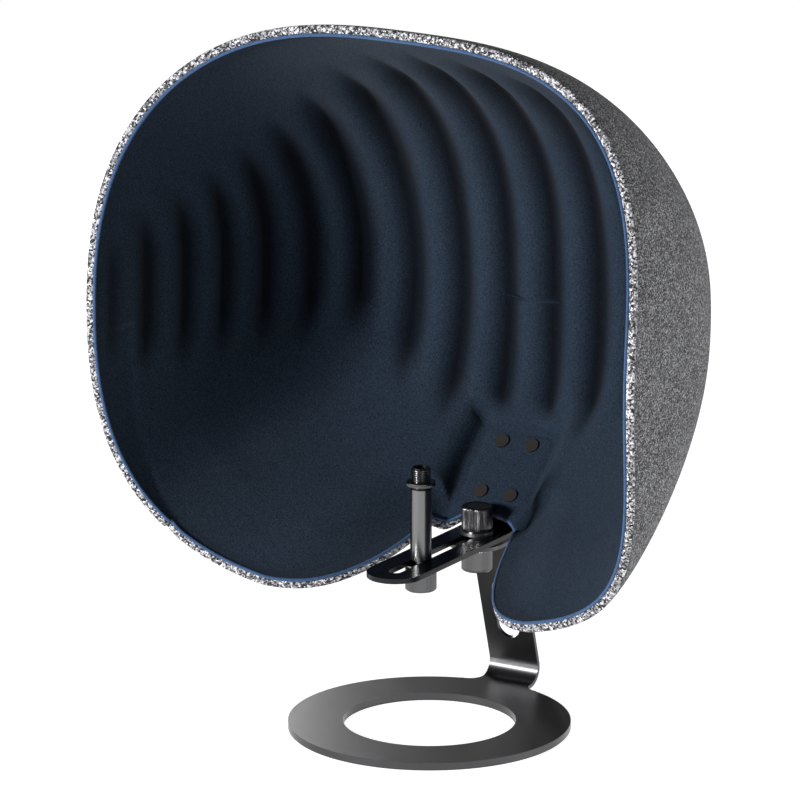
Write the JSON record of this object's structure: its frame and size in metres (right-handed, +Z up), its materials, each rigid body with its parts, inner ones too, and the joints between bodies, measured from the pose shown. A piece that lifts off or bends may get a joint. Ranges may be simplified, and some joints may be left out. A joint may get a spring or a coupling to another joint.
{
  "type": "microphone isolation shield",
  "caption": "Bowl-shaped microphone isolation shield with a ribbed lining and a notch, on a ring-foot desk stand with a swivelling, sliding slotted bracket and a threaded microphone post.",
  "frame": {"origin": "centre of the base ring at desk level, under the anti-slip pad", "axes": "+Z up, away from the desk. The bowl opens towards -Y, where the speaker sits. +X is to the right of someone who looks into the bowl."},
  "size_m": [0.495, 0.286, 0.5708],
  "materials": {
    "stand_black": "satin black powder coat",
    "weight_dark": "satin dark coat",
    "pad_black": "matt",
    "screw_zinc": "zinc plated",
    "stud_dark": "black oxide",
    "washer_steel": "satin",
    "washer_black": "matt",
    "knurl_gunmetal": "dark gunmetal, knurled",
    "bracket_black": "satin black powder coat",
    "rivet_bronze": "dark antique finish",
    "plate_steel": "zinc plated",
    "cover_grey": "heathered grey woven fabric",
    "eva_black": "moulded EVA foam board",
    "foam_grey": "open-cell acoustic foam",
    "lining_navy": "navy felt-like lining",
    "piping_blue": "blue woven piping"
  },
  "bodies": {
    "stand": {"stand_frame": "stand_black", "base_weight_ring": "weight_dark", "base_pad": "pad_black", "base_screws": "screw_zinc"},
    "clamp": {"clamp_stud": "stud_dark", "clamp_top_washer": "washer_steel", "friction_washer": "washer_black", "clamp_bottom_washer": "washer_steel"},
    "clamp_knob": {"clamp_knob": "knurl_gunmetal"},
    "clamp_nut": {"clamp_nut": "knurl_gunmetal"},
    "shield": {"slotted_bracket": "bracket_black", "binding_posts": "rivet_bronze", "binding_screws": "rivet_bronze", "backing_plate": "plate_steel", "outer_cover": "cover_grey", "notch_binding": "cover_grey", "eva_shell": "eva_black", "foam_liner": "foam_grey", "lining": "lining_navy", "edge_piping": "piping_blue"},
    "mic_post": {"mic_post": "knurl_gunmetal", "post_stud": "stud_dark", "post_washer": "washer_steel"},
    "post_nut": {"post_nut": "knurl_gunmetal"},
    "lock_ring": {"lock_ring": "knurl_gunmetal"}
  },
  "joints": [
    {"name": "shield_swivel", "type": "hinge", "parent": "stand", "child": "clamp", "pos_m": [0, 0.0725, 0.14], "axis": [0, 0, 1], "continuous": true},
    {"name": "shield_slide", "type": "slide", "parent": "clamp", "child": "shield", "axis": [0, 1, 0], "range_m": [0, 0.025]},
    {"name": "post_slide", "type": "slide", "parent": "shield", "child": "mic_post", "axis": [0, 1, 0], "range_m": [-0.038, 0.005]},
    {"name": "knob_turn", "type": "hinge", "parent": "clamp", "child": "clamp_knob", "pos_m": [0, 0.0725, 0.155], "axis": [0, 0, 1], "continuous": true},
    {"name": "clamp_nut_turn", "type": "hinge", "parent": "clamp", "child": "clamp_nut", "pos_m": [0, 0.0725, 0.12], "axis": [0, 0, 1], "continuous": true},
    {"name": "post_nut_turn", "type": "hinge", "parent": "mic_post", "child": "post_nut", "pos_m": [0, -0.013, 0.126], "axis": [0, 0, 1], "continuous": true},
    {"name": "lock_ring_turn", "type": "hinge", "parent": "mic_post", "child": "lock_ring", "pos_m": [0, -0.013, 0.204], "axis": [0, 0, 1], "continuous": true}
  ]
}
